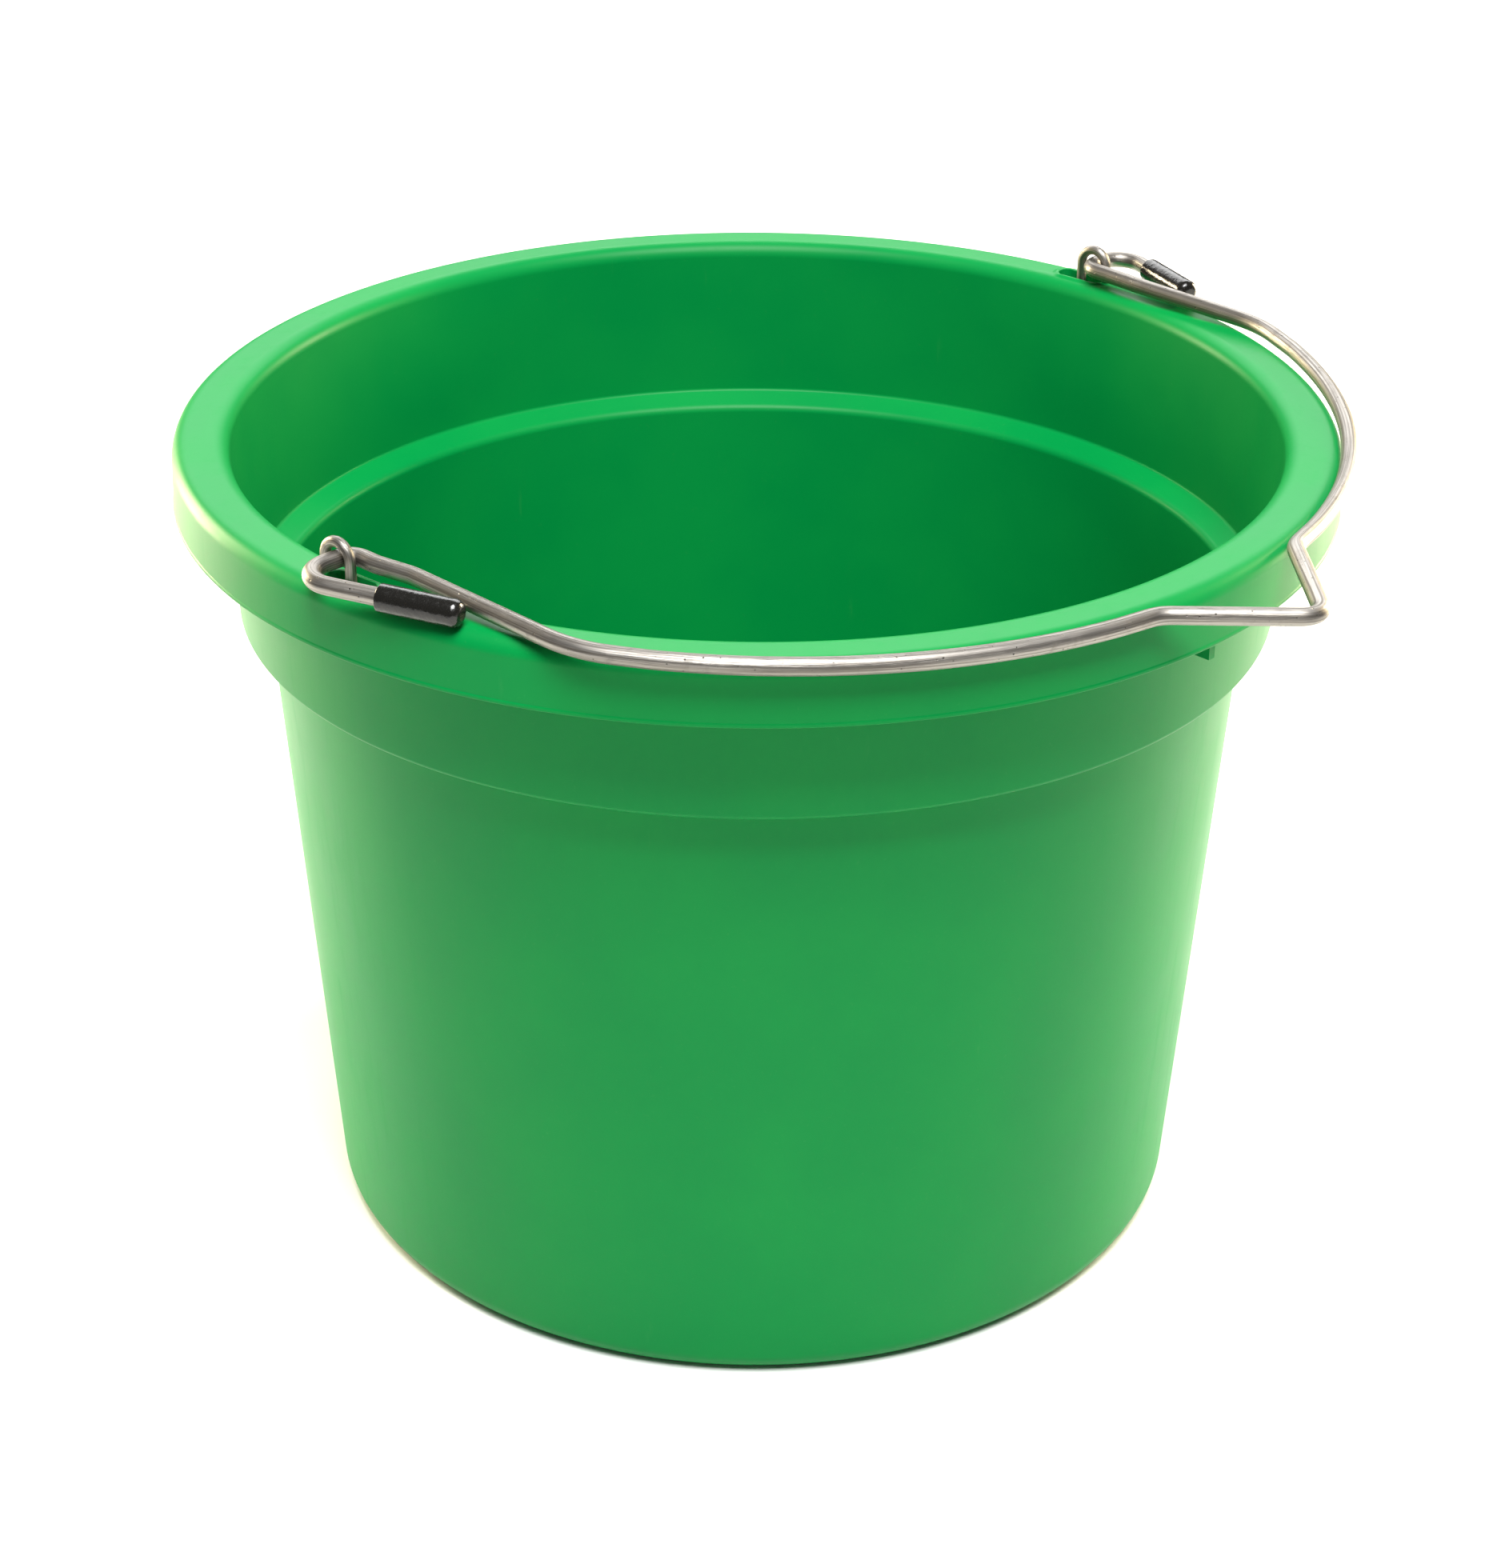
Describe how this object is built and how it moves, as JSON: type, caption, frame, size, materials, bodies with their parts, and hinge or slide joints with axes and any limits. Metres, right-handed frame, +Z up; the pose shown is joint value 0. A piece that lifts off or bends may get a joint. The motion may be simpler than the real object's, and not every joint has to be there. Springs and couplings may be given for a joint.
{
  "type": "utility pail",
  "caption": "Round tapered plastic pail with a stepped wall and rolled rim, a swinging wire bail hooked through wire eyes, and vinyl end caps.",
  "frame": {"origin": "centre of the pail's flat base, on the surface it stands on", "axes": "+Z up along the pail's axis, X through the stems of the two wire eyes in their slots, -Y towards the bail's grip where the bail lies down on the rim"},
  "size_m": [0.2916, 0.3062, 0.2152],
  "materials": {
    "green_plastic": "glossy moulded polyethylene, slightly translucent green",
    "galvanised_wire": "drawn galvanised steel wire with lengthwise streaks and small pits",
    "black_vinyl": "glossy black dipped vinyl"
  },
  "bodies": {
    "pail": {"pail": "green_plastic"},
    "bail": {"bail": "galvanised_wire", "left_cap": "black_vinyl", "right_cap": "black_vinyl"},
    "left_eye": {"left_eye": "galvanised_wire"},
    "right_eye": {"right_eye": "galvanised_wire"}
  },
  "joints": [
    {"name": "bail_swing", "type": "hinge", "parent": "pail", "child": "bail", "pos_m": [0, 0, 0.21005], "axis": [-0.9996, 0.0292, 0], "range_deg": [0, 184]},
    {"name": "left_eye_swivel", "type": "hinge", "parent": "pail", "child": "left_eye", "pos_m": [-0.1335, 0, 0.2056], "axis": [0, 0, 1], "range_deg": [-3, 3]},
    {"name": "right_eye_swivel", "type": "hinge", "parent": "pail", "child": "right_eye", "pos_m": [0.1335, 0, 0.2056], "axis": [0, 0, 1], "range_deg": [-3, 3]}
  ]
}
